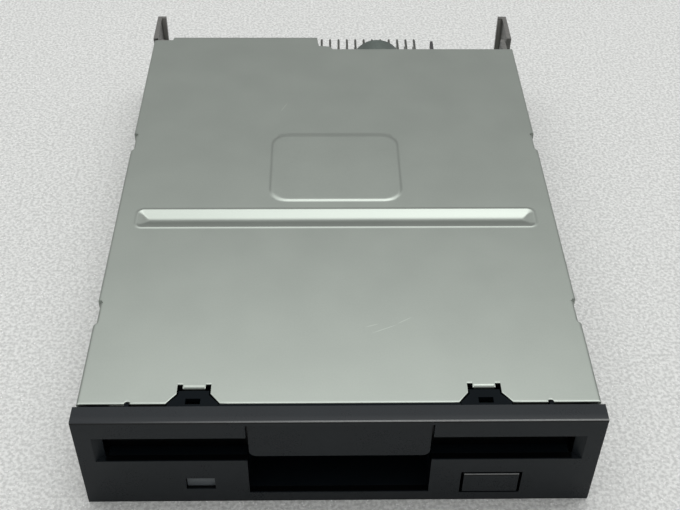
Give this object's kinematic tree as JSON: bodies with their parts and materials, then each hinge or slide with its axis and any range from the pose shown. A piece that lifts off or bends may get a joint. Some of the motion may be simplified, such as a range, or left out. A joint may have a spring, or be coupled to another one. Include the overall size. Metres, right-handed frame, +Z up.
{
  "type": "floppy disk drive",
  "caption": "Slimline disk drive: black slotted bezel with flap, lamp and eject button, pressed chassis and cover, and the loading, spindle and head mechanisms inside.",
  "frame": {"origin": "on the underside, below the middle of the bounding box", "axes": "+X to the right seen from the bezel, +Y from the bezel to the rear pins, +Z up"},
  "size_m": [0.1016, 0.1562, 0.0254],
  "materials": {
    "chassis_steel": "pressed, dull",
    "cover_steel": "satin plated",
    "bezel_plastic": "fine matt texture",
    "lens_plastic": "smoky clear",
    "mechanism_steel": "bright plated",
    "bright_steel": "ground",
    "spring_steel": "drawn wire",
    "lever_plastic": "moulded",
    "board_green": "solder mask",
    "bronze": "sintered",
    "core_steel": "stacked",
    "copper_wire": "enamelled",
    "magnet": "bonded",
    "carriage_plastic": "filled",
    "head_ferrite": "polished",
    "black_plastic": "moulded",
    "pin_metal": "flash plated",
    "switch_plastic": "moulded",
    "plunger_plastic": "moulded",
    "lamp_resin": "clear"
  },
  "bodies": {
    "frame": {"chassis": "chassis_steel", "top_cover": "cover_steel", "front_bezel": "bezel_plastic", "led_lens": "lens_plastic", "flap_spring": "spring_steel", "return_spring_left": "spring_steel", "return_spring_right": "spring_steel", "lever_post": "bright_steel", "lever_spring": "spring_steel", "disk_rests": "bright_steel", "motor_board": "board_green", "motor_screws": "bright_steel", "bearing_bush": "bronze", "stator_core": "core_steel", "stator_coils": "copper_wire", "guide_rod": "bright_steel", "rod_blocks": "mechanism_steel", "stepper_can": "core_steel", "stepper_bracket": "mechanism_steel", "bracket_screws_set": "bright_steel", "main_board": "board_green", "board_post_set": "bronze", "board_screws": "bright_steel", "controller_chip": "black_plastic", "driver_chip": "black_plastic", "crystal_can": "bright_steel", "track_sensor": "black_plastic", "signal_header": "black_plastic", "signal_pins": "pin_metal", "power_header": "black_plastic", "power_pins": "pin_metal", "lamp": "lamp_resin", "switch_bodies": "switch_plastic"},
    "slider": {"eject_slider": "mechanism_steel", "eject_button": "bezel_plastic"},
    "holder": {"disk_holder": "mechanism_steel", "holder_pins": "bright_steel"},
    "flap": {"dust_flap": "bezel_plastic"},
    "lever": {"shutter_lever": "lever_plastic"},
    "rotor": {"rotor_cup": "mechanism_steel", "rotor_magnet": "magnet", "spindle_hub": "bright_steel", "spindle_shaft": "bright_steel", "drive_pin": "bright_steel"},
    "carriage": {"head_carriage": "carriage_plastic", "lower_head": "head_ferrite", "arm_pin": "bright_steel", "screw_follower": "bright_steel"},
    "head_arm": {"upper_arm": "carriage_plastic", "upper_head": "head_ferrite"},
    "screw": {"lead_screw": "bright_steel"},
    "protect_plunger": {"plunger_protect": "plunger_plastic"},
    "density_plunger": {"plunger_density": "plunger_plastic"},
    "disk_plunger": {"plunger_disk": "plunger_plastic"}
  },
  "joints": [
    {"name": "eject_slide", "type": "slide", "parent": "frame", "child": "slider", "axis": [0, -1, 0], "range_m": [0, 0.005], "deforming": ["return_spring_left", "return_spring_right"]},
    {"name": "holder_drop", "type": "slide", "parent": "frame", "child": "holder", "axis": [0, 0, -1], "range_m": [0, 0.0032]},
    {"name": "flap_swing", "type": "hinge", "parent": "frame", "child": "flap", "pos_m": [0, -0.07395, 0.0227], "axis": [-1, 0, 0], "range_deg": [-80, 0], "stiffness_Nm_per_rad": 0.0004},
    {"name": "lever_swing", "type": "hinge", "parent": "frame", "child": "lever", "pos_m": [-0.033, 0.02505, 0.0194], "axis": [0, 0, 1], "range_deg": [0, 38], "stiffness_Nm_per_rad": 0.0005},
    {"name": "spindle_spin", "type": "hinge", "parent": "frame", "child": "rotor", "pos_m": [0, -0.02395, 0.008], "axis": [0, 0, 1], "continuous": true},
    {"name": "head_step", "type": "slide", "parent": "frame", "child": "carriage", "axis": [0, 1, 0], "range_m": [-0.0074, 0.0074]},
    {"name": "arm_tilt", "type": "hinge", "parent": "carriage", "child": "head_arm", "pos_m": [0, 0.03405, 0.0165], "axis": [1, 0, 0], "range_deg": [0, 11.6]},
    {"name": "screw_turn", "type": "hinge", "parent": "frame", "child": "screw", "pos_m": [0.0127, 0.03405, 0.0159], "axis": [0, 1, 0], "continuous": true},
    {"name": "protect_press", "type": "slide", "parent": "frame", "child": "protect_plunger", "axis": [0, 0, -1], "range_m": [0, 0.0012], "stiffness_N_per_m": 5},
    {"name": "density_press", "type": "slide", "parent": "frame", "child": "density_plunger", "axis": [0, 0, -1], "range_m": [0, 0.0012], "stiffness_N_per_m": 5},
    {"name": "disk_press", "type": "slide", "parent": "frame", "child": "disk_plunger", "axis": [0, 0, -1], "range_m": [0, 0.0012], "stiffness_N_per_m": 5}
  ],
  "couplings": [
    {"joint": "holder_drop", "follows": "eject_slide", "ratio": 0.64},
    {"joint": "arm_tilt", "follows": "eject_slide", "rad_per_m": 40.492},
    {"joint": "screw_turn", "follows": "head_step", "rad_per_m": -2094.4}
  ]
}
